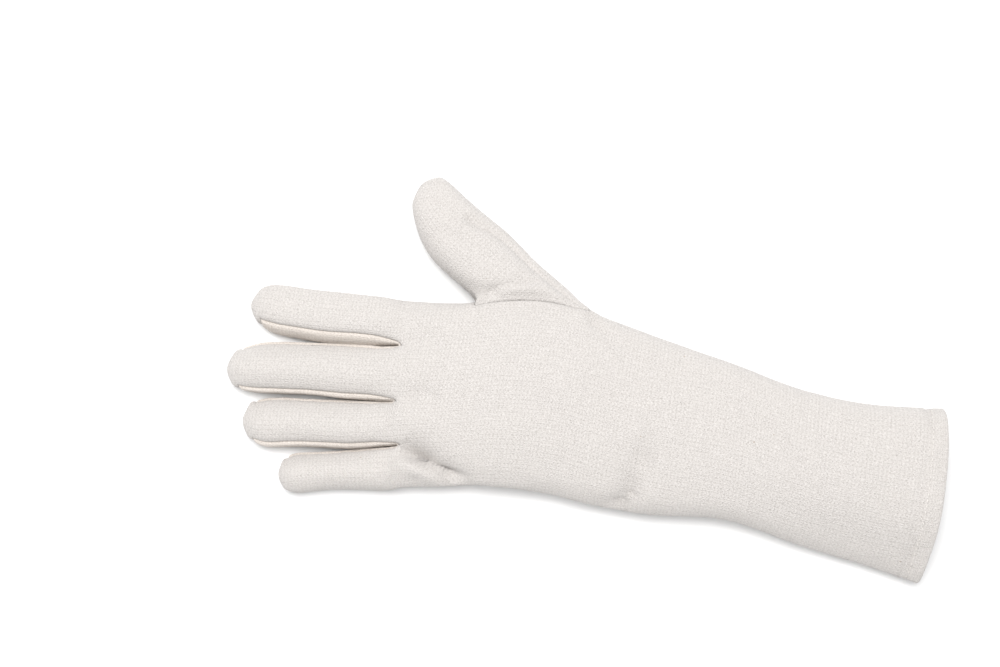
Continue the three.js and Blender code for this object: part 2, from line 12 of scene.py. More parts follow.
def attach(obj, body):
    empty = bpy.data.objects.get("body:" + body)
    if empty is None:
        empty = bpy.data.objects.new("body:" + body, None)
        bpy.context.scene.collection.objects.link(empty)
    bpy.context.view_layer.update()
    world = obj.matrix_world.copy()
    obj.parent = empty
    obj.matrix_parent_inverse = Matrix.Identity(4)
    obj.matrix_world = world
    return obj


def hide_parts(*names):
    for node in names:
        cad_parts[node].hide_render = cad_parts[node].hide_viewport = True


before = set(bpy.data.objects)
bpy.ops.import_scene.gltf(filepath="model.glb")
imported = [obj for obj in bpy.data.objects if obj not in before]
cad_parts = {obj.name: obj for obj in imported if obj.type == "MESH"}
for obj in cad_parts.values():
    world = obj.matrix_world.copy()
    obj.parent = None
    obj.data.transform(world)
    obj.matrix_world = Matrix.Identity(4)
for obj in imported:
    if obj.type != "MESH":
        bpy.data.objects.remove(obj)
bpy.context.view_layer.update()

# Hand and cuff
# The cloth's outside is a smooth surface over a coarse cage of quads. The hand and the cuff are rings
# of twenty points of it, from the fork line to the mouth of the cuff.
INDEX_WIDTH = 23.5
MIDDLE_WIDTH = 27.6
RING_WIDTH = 20.6
LITTLE_WIDTH = 21.0
HAND_WIDTH = INDEX_WIDTH + MIDDLE_WIDTH + RING_WIDTH + LITTLE_WIDTH
HAND_THICKNESS = 28.0
PALM_LENGTH = 107.0
CUFF_LENGTH = 155.0
CUFF_WIDTH = 84.8
CUFF_THICKNESS = 33.0
CUFF_BULGE = 1.8
HEM_DEPTH = 9.0
CUFF_END = PALM_LENGTH + CUFF_LENGTH
HAND_COLUMNS = 9

# Share of the width at which the columns next to the two sides lie
SHOULDER = 0.045

# The thumb is set in between these two rings of the hand, and its seam on the back lies this share of
# the hand's width inside the edge
THUMB_FIRST = 2
THUMB_LAST = 6
THUMB_SEAM = 0.018

# Every section is widest at this share of its height, and squarer below than above by its powers. PRESS
# is how far the padded underside would sink below the floor before the floor presses it flat.
MIDDLE_HEIGHT = 0.45
UPPER_POWER = 2.4
LOWER_POWER = 3.4
PRESS = 1.4

# One row per line that bounds the fingers: place across the hand, shift to the cuff as a share of the
# palm, and lean in degrees on the way to the tips
FINGER_LINES = [
    {"across": HAND_WIDTH / 2, "shift": 0.0, "lean": 3.4},
    {"across": HAND_WIDTH / 2 - INDEX_WIDTH, "shift": -0.01, "lean": 6.2},
    {"across": HAND_WIDTH / 2 - INDEX_WIDTH - MIDDLE_WIDTH, "shift": 0.01, "lean": 5.0},
    {"across": -HAND_WIDTH / 2 + LITTLE_WIDTH, "shift": 0.06, "lean": 12.6},
    {"across": -HAND_WIDTH / 2, "shift": 0.07, "lean": 11.5},
]

# One row per ring of the hand: along in shares of the palm, edges on the thumb side and the
# little-finger side in shares of its width, rise in shares of its thickness, and the dip over the forks
HAND_RINGS = [
    {"along": 0.0, "edges": (0.5, -0.5), "rise": 0.76, "dip": 0.14},
    {"along": 0.14, "edges": (0.511, -0.473), "rise": 0.87, "dip": 0.05},
    {"along": 0.297, "edges": (0.54, -0.441), "rise": 0.95, "dip": 0.01},
    {"along": 0.42, "edges": (0.576, -0.413), "rise": 1.0},
    {"along": 0.551, "edges": (0.604, -0.399), "rise": 1.03},
    {"along": 0.682, "edges": (0.612, -0.392), "rise": 1.03},
    {"along": 0.813, "edges": (0.598, -0.395), "rise": 1.01},
    {"along": 1.0, "edges": (0.545, -0.414), "rise": 0.98},
]

# One row per ring of the cuff: along in shares of its length, or back as shares of the hem's depth
# from the mouth, edges in shares of its width, and bulge in shares of the mouth's bulge
CUFF_RINGS = [
    {"along": 0.187, "edges": (0.53, -0.442), "rise": 0.84, "bulge": 0.0},
    {"along": 0.374, "edges": (0.472, -0.409), "rise": 0.87, "bulge": 0.0},
    {"along": 0.561, "edges": (0.398, -0.454), "rise": 0.9, "bulge": 0.1},
    {"along": 0.768, "edges": (0.377, -0.509), "rise": 0.95, "bulge": 0.4},
    {"back": 1.0, "edges": (0.405, -0.56), "rise": 0.99, "bulge": 0.95},
    {"back": 0.0, "edges": (0.42, -0.58), "rise": 1.0, "bulge": 1.0},
]

PANELS = ["trank", "thumb", "fourchette_index_middle", "fourchette_middle_ring", "fourchette_ring_little"]
targets = []
quads = []
quad_panels = []
quad_places = []


def add_point(x, y, z):
    targets.append(np.array([x, y, z], dtype=float))
    return len(targets) - 1


def add_quad(corners, panel, places):
    """A quad of the cage, its cloth panel, and where each corner lies in the flat cloth."""
    quads.append(tuple(corners))
    quad_panels.append(PANELS.index(panel))
    quad_places.extend(places)


def section_height(share, height, over):
    """Height of a padded section at a share of its half width: flatter below than above."""
    middle = MIDDLE_HEIGHT * height
    power = UPPER_POWER if over else LOWER_POWER
    fullness = max(0.0, 1.0 - abs(share) ** power) ** (1.0 / power)
    if over:
        return middle + (height - middle) * fullness
    return middle - (middle + PRESS) * fullness


def section_by_angle(angle, half_width, height, lift):
    """The same section for rings whose columns go round it: distance to the side, and height."""
    over = math.sin(angle) >= 0
    power = UPPER_POWER if over else LOWER_POWER
    share = math.copysign(abs(math.cos(angle)) ** (2.0 / power), math.cos(angle))
    return half_width * share, lift + section_height(share, height, over)


def girths(ring, cut, middle):
    """Distances round a ring from its middle column, with one more at the end where it is cut."""
    count = len(ring)
    order = [ring[(cut + step) % count] for step in range(count + 1)]
    steps = [np.linalg.norm(targets[b] - targets[a]) for a, b in zip(order, order[1:])]
    reach = np.concatenate([[0.0], np.cumsum(steps)])
    return reach - reach[(middle - cut) % count]


def girth_pair(reach, column, cut, count):
    """The distances round the ring at a column and at the next one."""
    first = (column - cut) % count
    return reach[first], reach[first + 1]


def share_across(line):
    """Share of the hand's width from its thumb edge to a line that bounds the fingers."""
    return 0.5 - line["across"] / HAND_WIDTH


def add_band(before, ring, panel, cut, middle, along, left_out=()):
    """Quads between two rings, placed in the cloth by their girth and by what along says of a corner."""
    count = len(ring)
    near = girths(before, cut, middle)
    far = girths(ring, cut, middle)
    for k in range(count):
        if k in left_out:
            continue
        following = (k + 1) % count
        corners = [before[k], before[following], ring[following], ring[k]]
        a, b = girth_pair(near, k, cut, count)
        d, c = girth_pair(far, k, cut, count)
        add_quad(corners, panel, [(u, along(corner)) for u, corner in zip((a, b, c, d), corners)])


# A column of the fork ring lies at each line that bounds the fingers and midway between two of them
fork_shares = []
for line in FINGER_LINES:
    share = share_across(line)
    if fork_shares:
        fork_shares.append((share + fork_shares[-1]) / 2)
    fork_shares.append(share)

stations = []
for row in HAND_RINGS + CUFF_RINGS:
    on_cuff = "bulge" in row
    start, length = (PALM_LENGTH, CUFF_LENGTH) if on_cuff else (0.0, PALM_LENGTH)
    width, thickness = (CUFF_WIDTH, CUFF_THICKNESS) if on_cuff else (HAND_WIDTH, HAND_THICKNESS)
    stations.append({
        "x": CUFF_END - row["back"] * HEM_DEPTH if "back" in row else start + row["along"] * length,
        "edges": [edge * width for edge in row["edges"]],
        "height": row["rise"] * thickness,
        "dip": row.get("dip", 0.0),
        "bulge": row.get("bulge", 0.0) * CUFF_BULGE,
    })


def fork_shift(share):
    """How far the fork line lies toward the cuff, evenly changing from one finger line to the next."""
    shifts = [line["shift"] * PALM_LENGTH for line in FINGER_LINES]
    return float(np.interp(share, [share_across(line) for line in FINGER_LINES], shifts))


def hand_ring(index, station):
    """A ring of the cage from the thumb side over the back to the little-finger side and under it."""
    ease = index / (len(stations) - 1)
    even = np.linspace(0.0, 1.0, HAND_COLUMNS)
    shares = [a + (b - a) * ease for a, b in zip(fork_shares, even)]
    thumb_edge, little_edge = station["edges"]
    width = thumb_edge - little_edge

    def point(share, over, dip=0.0, place=None):
        across = 1 - 2 * share
        x = station["x"] + station["bulge"] * (1 - across * across)
        y = thumb_edge - (share if place is None else place) * width
        z = section_height(across, station["height"], over)
        return add_point(x + fork_shift(share) if index == 0 else x, y, z * (1 - dip))

    inner = shares[1:-1]
    at_thumb = THUMB_FIRST <= index <= THUMB_LAST
    ring = [point(0.0, True), point(SHOULDER, True, place=THUMB_SEAM if at_thumb else SHOULDER)]
    ring += [point(share, True, station["dip"] if k % 2 else 0.0) for k, share in enumerate(inner)]
    ring += [point(1 - SHOULDER, True), point(1.0, True)]
    return ring + [point(share, False) for share in [1 - SHOULDER] + inner[::-1] + [SHOULDER]]


hand_rings = [hand_ring(index, station) for index, station in enumerate(stations)]
RING_SIZE = len(hand_rings[0])
BACK_MIDDLE = 5
LITTLE_SIDE = HAND_COLUMNS + 1


def along_hand(corner):
    return targets[corner][0]


for i, (before, ring) in enumerate(zip(hand_rings, hand_rings[1:])):
    hole = (0, RING_SIZE - 1) if THUMB_FIRST <= i < THUMB_LAST else ()
    add_band(before, ring, "trank", LITTLE_SIDE, BACK_MIDDLE, along_hand, hole)

# Fingers
# Each grows out of eight points of the fork ring and the webs. Its back and palm are the trank's cloth,
# and the sides that face another finger are narrow strips, joined to the trank by seams near the edges.
SLIT_GAP = 0.8

# One row per finger: sizes in millimetres, lean, the middle of its thumb side and its seams on the back
# in degrees round it, and how far the outline keeps off the bounding lines at each ring, in shares of
# the finger's width
FINGERS = [
    {
        "width": INDEX_WIDTH, "length": 77.0, "thickness": 18.0, "lean": 2.7,
        "thumb_side": 0, "thumb_seam": 32, "little_seam": 128,
        "thumb_away": [0, 0, 0, -0.02, -0.03, 0.03, 0.15],
        "little_away": [0, 0, 0.01, 0.09, 0.19, 0.33, 0.46],
    },
    {
        "width": MIDDLE_WIDTH, "length": 84.0, "thickness": 18.5, "lean": 5.8,
        "thumb_side": -24, "thumb_seam": 3, "little_seam": 151,
        "thumb_away": [0.02, 0.01, 0, 0.02, 0.07, 0.15, 0.24],
        "little_away": [0, 0, 0.01, 0, 0, 0.05, 0.13],
    },
    {
        "width": RING_WIDTH, "length": 75.5, "thickness": 17.5, "lean": 6.8,
        "thumb_side": -24, "thumb_seam": 3, "little_seam": 148,
        "thumb_away": [0, 0.02, 0.03, 0.05, 0.09, 0.17, 0.28],
        "little_away": [0, 0, 0.07, 0.14, 0.18, 0.33, 0.48],
    },
    {
        "width": LITTLE_WIDTH, "length": 57.0, "thickness": 16.0, "lean": 12.5,
        "thumb_side": -24, "thumb_seam": 3, "little_seam": 142,
        "thumb_away": [0, 0.01, 0.01, 0, 0, 0.08, 0.19],
        "little_away": [0, 0.03, 0.06, 0.05, 0.03, 0.09, 0.18],
    },
]

# One row per ring of a finger: place along it, height and lift of the underside in shares of its
# thickness, how far the seams have turned to their places, and how far the strip has closed
FINGER_RINGS = [
    {"along": 0.11, "rise": 1.06, "lift": 0.0, "turned": 0.5, "closed": 0.0},
    {"along": 0.29, "rise": 1.02, "lift": 0.0, "turned": 0.9, "closed": 0.0},
    {"along": 0.5, "rise": 1.0, "lift": 0.0, "turned": 1.0, "closed": 0.04},
    {"along": 0.7, "rise": 0.97, "lift": 0.0, "turned": 1.0, "closed": 0.1},
    {"along": 0.84, "rise": 0.9, "lift": 0.03, "turned": 1.0, "closed": 0.18},
    {"along": 0.925, "rise": 0.76, "lift": 0.08, "turned": 1.0, "closed": 0.28},
    {"along": 0.965, "rise": 0.63, "lift": 0.16, "turned": 0.85, "closed": 0.2},
]
STRIP_RINGS = 6

# Columns round a finger in degrees, from its thumb side over its back, and those that have a name
FINGER_COLUMNS = [0, 38, 90, 142, 180, 222, 270, 308]
THUMB_SIDE_COLUMN = 0
THUMB_SEAM_COLUMN = 1
BACK_COLUMN = 2
LITTLE_SEAM_COLUMN = 3
LITTLE_SIDE_COLUMN = 4
PALM_SEAM_COLUMN = 7
STRIPS = [None, "fourchette_index_middle", "fourchette_middle_ring", "fourchette_ring_little", None]

# Each web between two fingers lies straight below a point of the fork ring
fork_ring = hand_rings[0]
webs = []
for fork in range(1, len(FINGERS)):
    over = targets[fork_ring[2 * fork + 1]]
    webs.append(add_point(over[0], over[1], MIDDLE_HEIGHT * FINGERS[0]["thickness"]))
thumb_sides = [fork_ring[0]] + webs
little_sides = webs + [fork_ring[LITTLE_SIDE]]


def finger_direction(lean):
    """The way a finger points, leant to the little-finger side by so many degrees."""
    return np.array([-math.cos(math.radians(lean)), -math.sin(math.radians(lean))])


def finger_outline(line, finger, base, along, away, sense):
    """Place on a bounding line of the fingers at a distance along a finger, kept away by a share."""
    axis = finger_direction(finger["lean"])
    direction = finger_direction(FINGER_LINES[line]["lean"])
    start = np.array([FINGER_LINES[line]["shift"] * PALM_LENGTH, FINGER_LINES[line]["across"]])
    travel = (along - (start - base) @ axis) / (direction @ axis)
    across = np.array([axis[1], -axis[0]])
    keep = (SLIT_GAP / 2 if STRIPS[line] else 0.0) + away * finger["width"]
    return start + direction * travel + across * sense * keep


for f, finger in enumerate(FINGERS):
    over = 1 + 2 * f
    under = RING_SIZE - 1 - 2 * f
    before = [thumb_sides[f], fork_ring[over], fork_ring[over + 1], fork_ring[over + 2]]
    before += [little_sides[f], fork_ring[under - 2], fork_ring[under - 1], fork_ring[under]]
    before_v = [along_hand(corner) for corner in before]
    count = len(before)
    cut = THUMB_SIDE_COLUMN if f == len(FINGERS) - 1 else LITTLE_SIDE_COLUMN
    base = np.array([
        (FINGER_LINES[f]["shift"] + FINGER_LINES[f + 1]["shift"]) * PALM_LENGTH / 2,
        (FINGER_LINES[f]["across"] + FINGER_LINES[f + 1]["across"]) / 2,
    ])
    turned_to = {
        THUMB_SIDE_COLUMN: finger["thumb_side"],
        THUMB_SEAM_COLUMN: finger["thumb_seam"],
        LITTLE_SEAM_COLUMN: finger["little_seam"],
    }
    for r, row in enumerate(FINGER_RINGS):
        along = row["along"] * finger["length"]
        thumb_edge = finger_outline(f, finger, base, along, finger["thumb_away"][r], -1)
        little_edge = finger_outline(f + 1, finger, base, along, finger["little_away"][r], 1)
        centre = (thumb_edge + little_edge) / 2
        across_half = (thumb_edge - little_edge) / 2
        half_width = np.linalg.norm(across_half)
        height = (row["rise"] - row["lift"]) * finger["thickness"]
        thumb_side = finger["thumb_side"] * row["turned"]
        closed_to = {THUMB_SEAM_COLUMN: thumb_side, PALM_SEAM_COLUMN: 360 + thumb_side}
        ring = []
        for k, column in enumerate(FINGER_COLUMNS):
            turned = column + (turned_to.get(k, column) - column) * row["turned"]
            if k % 2:
                turned += (closed_to.get(k, 180) - turned) * row["closed"]
            lift = row["lift"] * finger["thickness"]
            side, z = section_by_angle(math.radians(turned), half_width, height, lift)
            place = centre + across_half * side / half_width
            ring.append(add_point(place[0], place[1], z))
        ring_v = [-along] * count
        for k in range(count):
            following = (k + 1) % count
            on_thumb_side = THUMB_SIDE_COLUMN in (k, following)
            on_little_side = k in (LITTLE_SEAM_COLUMN, LITTLE_SIDE_COLUMN)
            strip = STRIPS[f] if on_thumb_side else STRIPS[f + 1] if on_little_side else None
            in_strip = strip is not None and r < STRIP_RINGS
            own_cut = BACK_COLUMN if in_strip else cut
            a, d = girth_pair(girths(before, own_cut, BACK_COLUMN), k, own_cut, count)
            b, c = girth_pair(girths(ring, own_cut, BACK_COLUMN), k, own_cut, count)
            corners = [before[k], ring[k], ring[following], before[following]]
            places = [(a, before_v[k]), (b, ring_v[k]), (c, ring_v[following]), (d, before_v[following])]
            add_quad(corners, strip if in_strip else "trank", places)
        before = ring
        before_v = ring_v
    last = FINGER_RINGS[-1]
    axis = finger_direction(finger["lean"])
    centre = np.mean([targets[corner] for corner in before], axis=0)
    reach = (1 - last["along"]) * finger["length"]
    tip_height = (last["lift"] + MIDDLE_HEIGHT * (last["rise"] - last["lift"])) * finger["thickness"]
    tip = add_point(centre[0] + axis[0] * reach, centre[1] + axis[1] * reach, tip_height)
    round_tip = girths(before, cut, BACK_COLUMN)
    for k in range(1, count, 2):
        c, b = girth_pair(round_tip, k - 1, cut, count)
        _, a = girth_pair(round_tip, k, cut, count)
        corners = [before[(k + 1) % count], before[k], before[k - 1], tip]
        places = [(a, before_v[0]), (b, before_v[0]), (c, before_v[0]), ((a + c) / 2, -finger["length"])]
        add_quad(corners, "trank", places)

# Thumb
# It grows out of a hole in the index side of the hand and stands off at an angle. It is a cloth tube
# of its own, sewn into that hole.
THUMB_LENGTH = 61.0
THUMB_WIDTH = 34.0
THUMB_THICKNESS = 23.0
THUMB_ANGLE = 32.6

# One row per ring of the thumb: the edge that faces the index finger (in) and the outer one (out),
# along in shares of its length past the crotch, side in shares of its width
THUMB_RINGS = [
    {"in": (0.11, 0.06), "out": (-0.46, 1.05), "rise": 1.04, "lift": 0.0},
    {"in": (0.26, 0.055), "out": (-0.15, 1.04), "rise": 1.02, "lift": 0.0},
    {"in": (0.45, 0.06), "out": (0.18, 1.08), "rise": 0.99, "lift": 0.0},
    {"in": (0.64, 0.135), "out": (0.48, 1.07), "rise": 0.95, "lift": 0.0},
    {"in": (0.8, 0.28), "out": (0.71, 1.07), "rise": 0.88, "lift": 0.03},
    {"in": (0.91, 0.42), "out": (0.87, 1.08), "rise": 0.76, "lift": 0.08},
    {"in": (0.955, 0.51), "out": (0.935, 1.04), "rise": 0.65, "lift": 0.15},
]
THUMB_TIP_SIDE = 0.75
THUMB_END_STEPS = 4

# Columns round the thumb in degrees, and the numbers of those on its back, its edges and its seam
THUMB_COLUMNS = [150, 120, 90, 60, 30, 0, -30, -60, -90, -120, -150, 180]
THUMB_BACK = 2
THUMB_OUTER = 5
THUMB_CUT = 8
THUMB_INNER = 11

# The hole's edge goes along the back to the cuff, round the hole's end and along the palm to the crotch
thumb_stations = hand_rings[THUMB_FIRST:THUMB_LAST + 1]
thumb_base = [ring[1] for ring in thumb_stations]
thumb_base.append(thumb_stations[-1][0])
thumb_base += [ring[-1] for ring in reversed(thumb_stations)]
thumb_base.append(thumb_stations[0][0])
crotch = targets[thumb_stations[0][0]][:2]
thumb_axis = np.array([-math.cos(math.radians(THUMB_ANGLE)), math.sin(math.radians(THUMB_ANGLE))])
thumb_across = np.array([thumb_axis[1], -thumb_axis[0]])


def thumb_plan(along, side):
    """Place on the floor plan at shares of the thumb's length and width from the crotch."""
    return crotch + thumb_axis * along * THUMB_LENGTH + thumb_across * side * THUMB_WIDTH


def along_thumb(corner):
    return -float((targets[corner][:2] - crotch) @ thumb_axis)


before = thumb_base
for row in THUMB_RINGS:
    inner = thumb_plan(*row["in"])
    outer = thumb_plan(*row["out"])
    half_width = np.linalg.norm(outer - inner) / 2
    height = (row["rise"] - row["lift"]) * THUMB_THICKNESS
    lift = row["lift"] * THUMB_THICKNESS
    ring = []
    for column in THUMB_COLUMNS:
        side, z = section_by_angle(math.radians(column), half_width, height, lift)
        place = inner + (outer - inner) * (1 + side / half_width) / 2
        ring.append(add_point(place[0], place[1], z))
    add_band(before, ring, "thumb", THUMB_CUT, THUMB_BACK, along_thumb)
    before = ring

last = THUMB_RINGS[-1]
tip = thumb_plan(1.0, THUMB_TIP_SIDE)
tip_height = (last["lift"] + MIDDLE_HEIGHT * (last["rise"] - last["lift"])) * THUMB_THICKNESS
end_row = [before[THUMB_INNER]]
inner, outer = targets[before[THUMB_INNER]], targets[before[THUMB_OUTER]]
for step in range(1, THUMB_END_STEPS):
    edge = inner + (outer - inner) * step / THUMB_END_STEPS
    gain = thumb_axis @ (tip - edge[:2]) * math.sin(math.pi * step / THUMB_END_STEPS)
    end_row.append(add_point(edge[0] + thumb_axis[0] * gain, edge[1] + thumb_axis[1] * gain, tip_height))
end_row.append(before[THUMB_OUTER])


def thumb_end_place(corner):
    across = float((targets[corner][:2] - crotch) @ thumb_across)
    return across, along_thumb(corner)


for j in range(THUMB_END_STEPS):
    below = THUMB_INNER - 1 - j
    for corners in (
        [before[j], before[j + 1], end_row[j + 1], end_row[j]],
        [end_row[j], end_row[j + 1], before[below - 1], before[below]],
    ):
        add_quad(corners, "thumb", [thumb_end_place(corner) for corner in corners])

# The smooth surface
# The cage is fitted in small steps, so that the smooth surface passes through the points set above.
# A subdivision modifier then makes that surface. FORK_PLACE is where the fork line lies on the floor.
FIT_STEPS = 30
FINENESS = 3
MM = 0.001
FORK_PLACE = np.array([-90.02, -27.75, 0.0])


def limit_matrix(count, faces):
    """Weights that give the smooth surface's point for each point of the cage: those of the limit of
    Catmull-Clark subdivision."""
    weights = np.zeros((count, count))
    edge_uses = {}
    for corners in faces:
        for k, corner in enumerate(corners):
            following, across = corners[(k + 1) % 4], corners[(k + 2) % 4]
            weights[corner, across] += 1
            key = (min(corner, following), max(corner, following))
            edge_uses[key] = edge_uses.get(key, 0) + 1
    valence = np.zeros(count)
    open_ends = {}
    for (a, b), uses in edge_uses.items():
        valence[a] += 1
        valence[b] += 1
        weights[a, b] += 4
        weights[b, a] += 4
        if uses == 1:
            open_ends.setdefault(a, []).append(b)
            open_ends.setdefault(b, []).append(a)
    for corner in range(count):
        if corner in open_ends:
            weights[corner] = 0
            weights[corner, corner] = 4
            weights[corner, open_ends[corner]] = 1
            weights[corner] /= 6
        else:
            weights[corner, corner] = valence[corner] ** 2
            weights[corner] /= valence[corner] * (valence[corner] + 5)
    return weights


used, numbered = np.unique(np.array(quads), return_inverse=True)
cage_quads = numbered.reshape(-1, 4).tolist()
goal = np.array(targets)[used]
limit = limit_matrix(len(goal), cage_quads)
cage = goal.copy()
for _ in range(FIT_STEPS):
    cage += goal - limit @ cage


def baked_mesh(piece):
    """The piece's mesh with its modifiers worked in."""
    bpy.context.view_layer.update()
    result = bpy.data.meshes.new_from_object(piece.evaluated_get(bpy.context.evaluated_depsgraph_get()))
    result.name = piece.name
    return result


def add_object(data):
    """An object of a mesh, a lamp or a camera, with its name."""
    piece = bpy.data.objects.new(data.name, data)
    bpy.context.scene.collection.objects.link(piece)
    return piece


cage_mesh = bpy.data.meshes.new("glove_cage")
cage_mesh.from_pydata(cage.tolist(), [], cage_quads)
for panel in PANELS:
    cage_mesh.materials.append(bpy.data.materials.new(panel + "_marker"))
cage_mesh.polygons.foreach_set("material_index", quad_panels)
cloth_places = cage_mesh.uv_layers.new(name="cloth")
cloth_places.data.foreach_set("uv", np.array(quad_places).ravel())
cage_object = add_object(cage_mesh)
smoothing = cage_object.modifiers.new("smooth", "SUBSURF")
smoothing.levels = FINENESS
smoothing.render_levels = FINENESS
smooth_mesh = baked_mesh(cage_object)
bpy.data.objects.remove(cage_object)


def read_values(items, attribute, each, kind=float):
    """One attribute of all of a mesh's points, corners or faces, which has so many values for each."""
    values = np.empty(len(items) * each, dtype=kind)
    items.foreach_get(attribute, values)
    return values


surface = read_values(smooth_mesh.vertices, "co", 3).reshape(-1, 3)
faces = read_values(smooth_mesh.loops, "vertex_index", 1, int).reshape(-1, 4)
face_panels = read_values(smooth_mesh.polygons, "material_index", 1, int)
face_places = read_values(smooth_mesh.uv_layers["cloth"].data, "uv", 2).reshape(-1, 4, 2)


def point_normals(points, quads_of):
    """Normals of the points, from the quads round each."""
    corners = points[quads_of]
    areas = np.cross(corners[:, 2] - corners[:, 0], corners[:, 3] - corners[:, 1])
    normals = np.zeros_like(points)
    for k in range(4):
        np.add.at(normals, quads_of[:, k], areas)
    return normals / np.linalg.norm(normals, axis=1, keepdims=True)


# Folds, dents and lumps
# Each fold is pressed into the cloth's upper side along a line, or raised from it where its depth is
# negative. The slits' ends are pinched, the cuff sags on one side and all the cloth is a little uneven.
FOLD_POWER = 2
FOLD_END = 5.0
CORNER_CUTS = 2
CORNER_CUT = 0.25
FACING_UP = 1.6

# One row per fold: path in shares of the palm from the fork line and of the hand's width off its
# middle line, widths on the thumb side and the little-finger side of a line that runs to the cuff,
# depth in millimetres too, power if other than FOLD_POWER, lower for a sharper bottom, and end if it
# takes other than FOLD_END to fade out at both ends
FOLDS = [
    # Crease by the little finger
    {"path": [(0.045, -0.285), (0.067, -0.302), (0.105, -0.313), (0.142, -0.325), (0.2, -0.35),
              (0.267, -0.384), (0.343, -0.437), (0.44, -0.5)],
     "widths": (6.2, 2.0), "depth": 8.4, "power": 1.3, "end": 13.0},
    {"path": [(0.055, -0.29), (0.075, -0.304), (0.142, -0.325), (0.22, -0.36)],
     "widths": (3.4, 1.6), "depth": 4.0, "power": 1.3, "end": 3.0},
    {"path": [(0.04, -0.345), (0.065, -0.358), (0.153, -0.376), (0.249, -0.41), (0.323, -0.448)],
     "widths": (2.0, 3.6), "depth": -1.2},
    {"path": [(0.11, -0.43), (0.131, -0.432), (0.189, -0.452), (0.21, -0.46)],
     "widths": (2.2, 2.2), "depth": 1.1, "power": 1.6},
    {"path": [(0.38, -0.41), (0.411, -0.411), (0.501, -0.41), (0.635, -0.394), (0.68, -0.39)],
     "widths": (3.2, 3.2), "depth": -1.3},
    # Thumb and its seam
    {"path": [(0.27, 0.52), (0.3, 0.536), (0.356, 0.59), (0.418, 0.635), (0.483, 0.663), (0.549, 0.687),
              (0.6, 0.69)], "widths": (3.6, 1.8), "depth": 2.2, "power": 1.3},
    {"path": [(0.37, 0.59), (0.43, 0.615), (0.52, 0.64), (0.62, 0.64), (0.7, 0.625)],
     "widths": (2.4, 2.4), "depth": -0.9},
    {"path": [(0.172, 0.985), (0.246, 0.952), (0.314, 0.932), (0.393, 0.895), (0.479, 0.826),
              (0.568, 0.758), (0.679, 0.69), (0.793, 0.606)],
     "widths": (1.7, 4.8), "depth": 3.2, "power": 1.2},
    {"path": [(0.08, 0.89), (0.104, 0.879), (0.228, 0.831), (0.331, 0.758), (0.36, 0.74)],
     "widths": (2.6, 2.6), "depth": 1.1, "power": 1.6},
    {"path": [(0.0, 1.005), (0.013, 1.016), (0.077, 1.056), (0.09, 1.07)],
     "widths": (1.8, 1.8), "depth": 0.8, "power": 1.6},
    # Tip of the index finger
    {"path": [(-0.7, 0.46), (-0.686, 0.455), (-0.645, 0.43), (-0.63, 0.42)],
     "widths": (1.3, 1.3), "depth": 1.0, "power": 1.6},
    # Pleat over the wrist
    {"path": [(1.04, -0.6), (1.065, -0.5), (1.091, -0.42), (1.118, -0.373), (1.14, -0.318),
              (1.152, -0.248), (1.162, -0.168), (1.172, -0.09), (1.178, -0.03), (1.185, 0.02)],
     "widths": (6.0, 1.5), "depth": 4.2, "power": 1.2, "end": 18.0},
    {"path": [(1.065, -0.5), (1.091, -0.42), (1.118, -0.373), (1.14, -0.318), (1.152, -0.248),
              (1.157, -0.2)],
     "widths": (4.5, 1.4), "depth": 2.0, "power": 1.2, "end": 9.0},
    # End of the thumb's seam, knuckles and root of the thumb
    {"path": [(0.82, 0.575), (0.84, 0.53), (0.87, 0.47)], "widths": (3.0, 2.0), "depth": 1.3, "power": 1.5},
    {"path": [(0.042, -0.048), (0.126, -0.005), (0.216, 0.001)], "widths": (4.5, 4.5), "depth": 1.4},
    {"path": [(0.008, 0.234), (0.106, 0.274), (0.187, 0.343)], "widths": (3.6, 3.6), "depth": 1.1},
    {"path": [(0.138, 0.07), (0.236, 0.167)], "widths": (3.2, 3.2), "depth": 0.5},
    {"path": [(0.806, 0.567), (0.899, 0.453), (1.064, 0.405)], "widths": (4.6, 4.6), "depth": 1.0},
]


def rounded_path(path):
    """The path with its corners cut, so that a fold runs in a curve."""
    for _ in range(CORNER_CUTS):
        cut = [path[0]]
        for a, b in zip(path, path[1:]):
            cut += [a * (1 - CORNER_CUT) + b * CORNER_CUT, a * CORNER_CUT + b * (1 - CORNER_CUT)]
        path = cut + [path[-1]]
    return path


def fold_depth(points, fold):
    """How far a fold presses the cloth in at each point, fading out at its two ends."""
    left, right = fold["widths"]
    scale = np.array([PALM_LENGTH, HAND_WIDTH])
    path = rounded_path([np.array(place) * scale for place in fold["path"]])
    nearest = np.full(len(points), np.inf)
    width = np.full(len(points), left)
    reach = np.zeros(len(points))
    travelled = 0.0
    for a, b in zip(path, path[1:]):
        step = b - a
        length = np.linalg.norm(step)
        share = np.clip((points[:, :2] - a) @ step / length ** 2, 0, 1)
        off = points[:, :2] - a - share[:, None] * step
        gap = np.linalg.norm(off, axis=1)
        closer = gap < nearest
        nearest[closer] = gap[closer]
        on_left = step[0] * off[:, 1] - step[1] * off[:, 0] > 0
        width[closer] = np.where(on_left, left, right)[closer]
        reach[closer] = (travelled + share * length)[closer]
        travelled += length
    fade_length = min(fold.get("end", FOLD_END), travelled / 2)
    ends = np.clip(np.minimum(reach, travelled - reach) / fade_length, 0, 1)
    fade = ends * ends * (3 - 2 * ends)
    return fold["depth"] * fade * np.exp(-(nearest / width) ** fold.get("power", FOLD_POWER))


